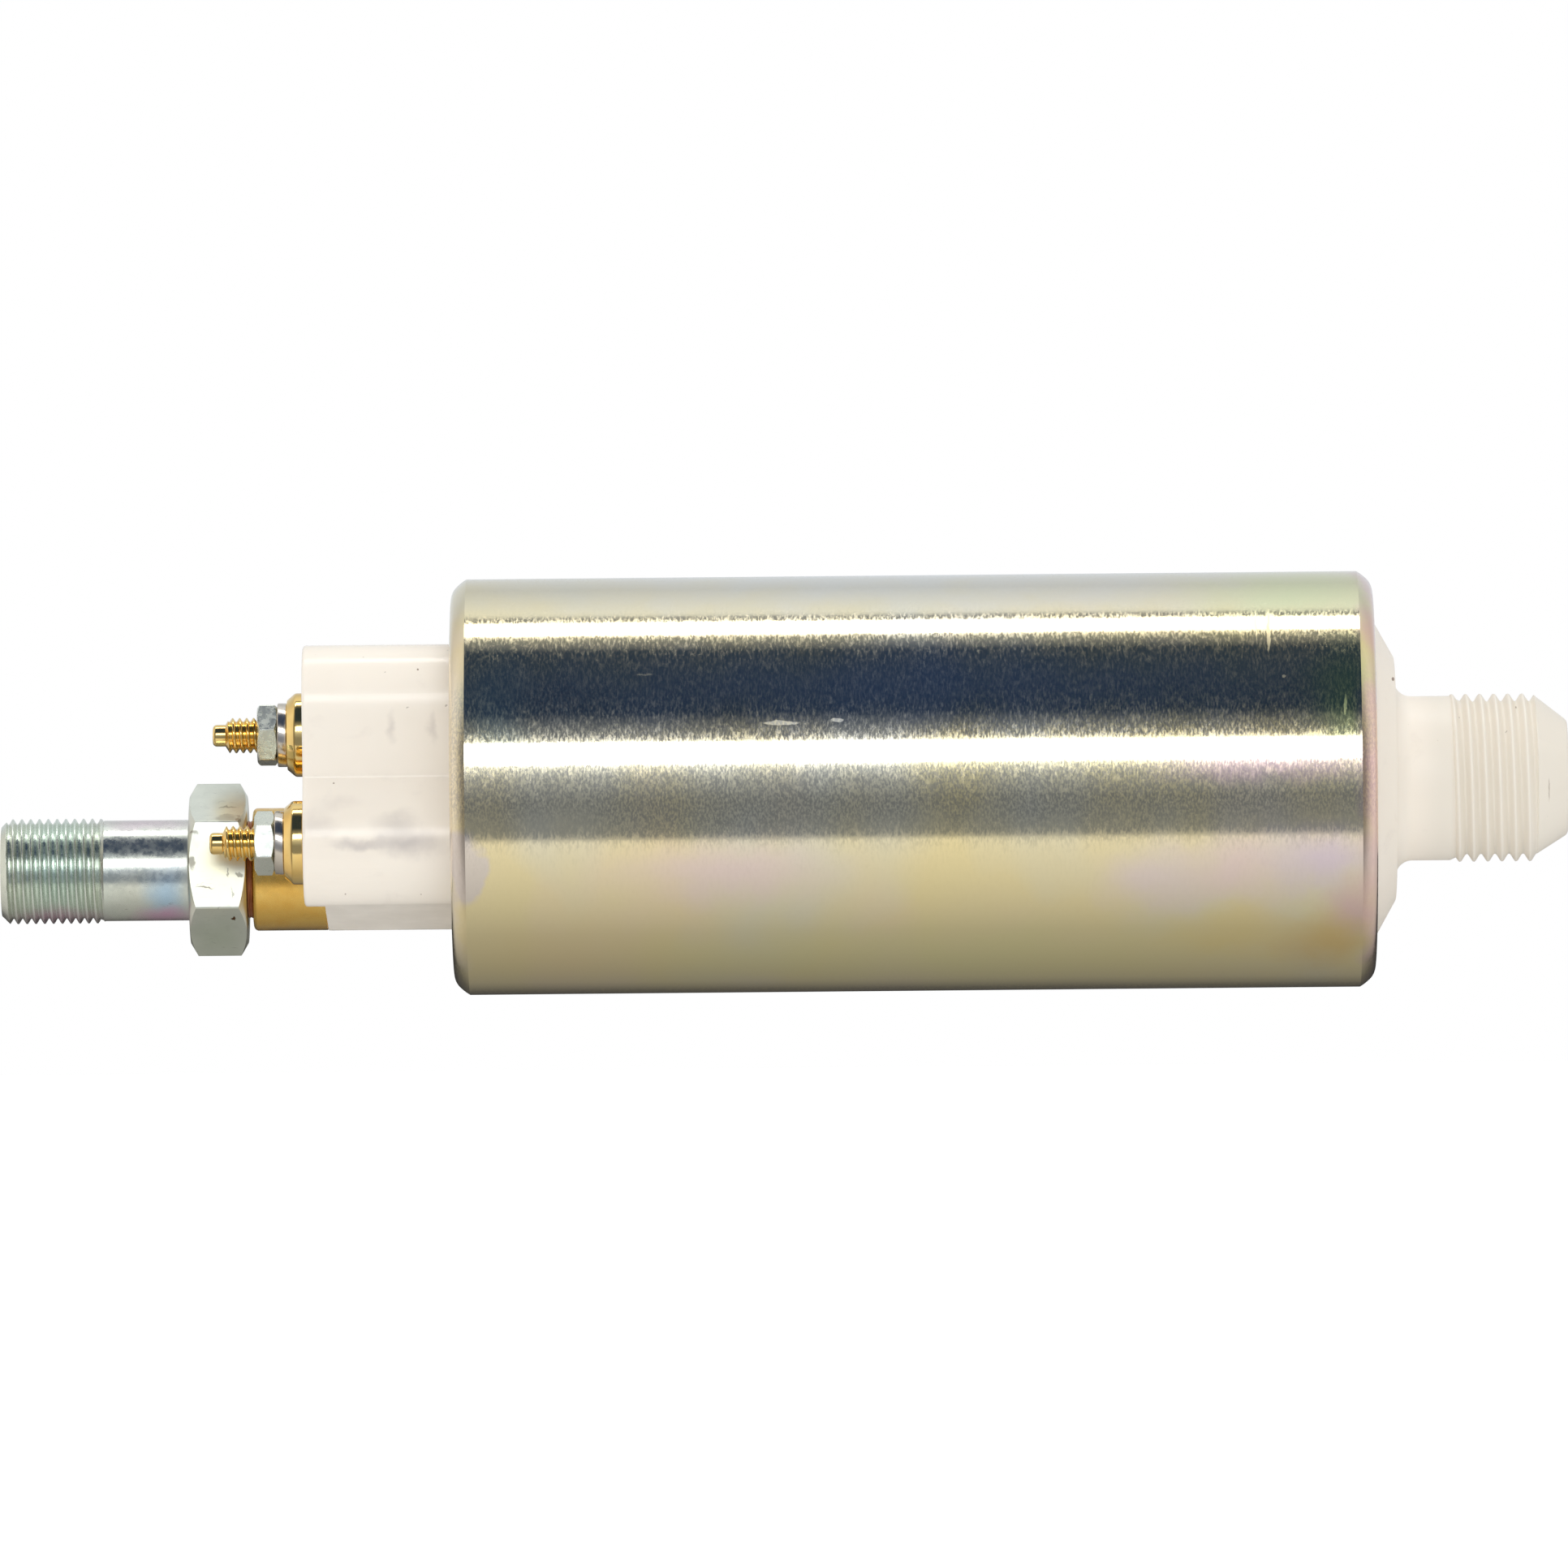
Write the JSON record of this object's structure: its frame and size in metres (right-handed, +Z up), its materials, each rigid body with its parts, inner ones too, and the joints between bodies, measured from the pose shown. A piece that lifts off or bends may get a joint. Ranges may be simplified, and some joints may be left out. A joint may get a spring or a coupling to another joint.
{
  "type": "electric fuel pump",
  "caption": "Inline electric fuel pump: plated steel tube, plastic end caps, threaded inlet, check-valve outlet fitting and terminal studs, with motor and rotor pump inside.",
  "frame": {"origin": "on the pump's axis, at the middle of the steel tube's length", "axes": "+X along the pump's axis towards the inlet, +Z up, with the outlet fitting below the axis and behind it"},
  "size_m": [0.1773, 0.047, 0.047],
  "materials": {
    "plated_tube": "yellow passivated zinc, drawn tube, iridescent",
    "cap_plastic": "off-white moulded plastic, satin",
    "sleeve_brass": "turned brass",
    "zinc_steel": "bright zinc plated, turned",
    "copper": "soft copper, dull",
    "stud_brass": "polished brass",
    "nickel_steel": "nickel plated spring steel",
    "seal_rubber": "fuel-proof rubber",
    "spring_steel": "drawn spring wire",
    "ferrite": "sintered ferrite, matt",
    "carbon": "pressed carbon, matt",
    "phenolic": "dark brown moulding",
    "bush_bronze": "sintered bronze",
    "shaft_steel": "ground steel",
    "lamination": "stamped electrical steel",
    "insulator": "green insulating paper",
    "enamel_wire": "enamelled copper wire",
    "pump_aluminium": "machined casting",
    "rotor_steel": "sintered iron, lapped",
    "screen_steel": "etched stainless screen"
  },
  "bodies": {
    "pump_body": {"housing_tube": "plated_tube", "outlet_end_cap": "cap_plastic", "inlet_end_cap": "cap_plastic", "outlet_cap_seal": "seal_rubber", "inlet_cap_seal": "seal_rubber", "outlet_insert": "sleeve_brass", "outlet_fitting": "zinc_steel", "sealing_washer": "copper", "check_valve_spring": "spring_steel", "check_valve_retainer": "shaft_steel", "terminal_stud_upper": "stud_brass", "terminal_stud_lower": "stud_brass", "terminal_seal_upper": "seal_rubber", "terminal_seal_lower": "seal_rubber", "brush_holder": "phenolic", "brush_spring_upper": "spring_steel", "brush_spring_lower": "spring_steel", "choke_core_upper": "ferrite", "choke_core_lower": "ferrite", "choke_coil_upper": "enamel_wire", "choke_coil_lower": "enamel_wire", "bearing_bush_outlet": "bush_bronze", "bearing_bush_pump": "bush_bronze", "magnet_front": "ferrite", "magnet_rear": "ferrite", "magnet_clips": "spring_steel", "outlet_plate": "pump_aluminium", "pump_ring": "rotor_steel", "inlet_plate": "pump_aluminium", "pump_screws": "zinc_steel", "relief_spring": "spring_steel", "relief_plug": "sleeve_brass", "inlet_strainer": "screen_steel"},
    "armature": {"armature_shaft": "shaft_steel", "lamination_stack": "lamination", "slot_insulator_outlet": "insulator", "slot_insulator_pump": "insulator", "armature_winding": "enamel_wire", "commutator_hub": "phenolic", "commutator_segments": "copper", "inner_rotor": "rotor_steel"},
    "outer_rotor": {"outer_rotor": "rotor_steel"},
    "check_valve": {"check_valve_poppet": "sleeve_brass"},
    "relief_valve": {"relief_ball": "shaft_steel"},
    "brush_upper": {"brush_upper": "carbon"},
    "brush_lower": {"brush_lower": "carbon"},
    "washer_upper": {"terminal_washer_upper": "nickel_steel"},
    "nut_upper": {"terminal_nut_upper": "zinc_steel"},
    "washer_lower": {"terminal_washer_lower": "nickel_steel"},
    "nut_lower": {"terminal_nut_lower": "zinc_steel"}
  },
  "joints": [
    {"name": "armature_spin", "type": "hinge", "parent": "pump_body", "child": "armature", "pos_m": [0, 0, 0], "axis": [1, 0, 0], "continuous": true},
    {"name": "outer_rotor_spin", "type": "hinge", "parent": "pump_body", "child": "outer_rotor", "pos_m": [0.03, -0.0011, 0], "axis": [1, 0, 0], "continuous": true},
    {"name": "check_valve_slide", "type": "slide", "parent": "pump_body", "child": "check_valve", "axis": [-1, 0, 0], "range_m": [0, 0.0015], "stiffness_N_per_m": 150, "springref_m": -0.003, "deforming": ["check_valve_spring"]},
    {"name": "relief_valve_slide", "type": "slide", "parent": "pump_body", "child": "relief_valve", "axis": [1, 0, 0], "range_m": [0, 0.0008], "stiffness_N_per_m": 150, "springref_m": -0.002, "deforming": ["relief_spring"]},
    {"name": "brush_upper_slide", "type": "slide", "parent": "pump_body", "child": "brush_upper", "axis": [-1, 0, 0], "range_m": [0, 0.002], "stiffness_N_per_m": 120, "springref_m": -0.006, "deforming": ["brush_spring_upper"]},
    {"name": "brush_lower_slide", "type": "slide", "parent": "pump_body", "child": "brush_lower", "axis": [-1, 0, 0], "range_m": [0, 0.002], "stiffness_N_per_m": 120, "springref_m": -0.006, "deforming": ["brush_spring_lower"]},
    {"name": "washer_upper_slide", "type": "slide", "parent": "pump_body", "child": "washer_upper", "axis": [-1, 0, 0], "range_m": [0, 0.00317]},
    {"name": "nut_upper_turn", "type": "hinge", "parent": "washer_upper", "child": "nut_upper", "pos_m": [-0.0731, 0.007, 0.0061], "axis": [-1, 0, 0], "range_deg": [0, 1441]},
    {"name": "washer_lower_slide", "type": "slide", "parent": "pump_body", "child": "washer_lower", "axis": [-1, 0, 0], "range_m": [0, 0.00317]},
    {"name": "nut_lower_turn", "type": "hinge", "parent": "washer_lower", "child": "nut_lower", "pos_m": [-0.0731, -0.007, -0.0061], "axis": [-1, 0, 0], "range_deg": [0, 1441]}
  ],
  "couplings": [
    {"joint": "outer_rotor_spin", "follows": "armature_spin", "ratio": 0.85714},
    {"joint": "nut_upper_turn", "follows": "washer_upper_slide", "rad_per_m": 7915.8},
    {"joint": "nut_lower_turn", "follows": "washer_lower_slide", "rad_per_m": 7915.8}
  ]
}
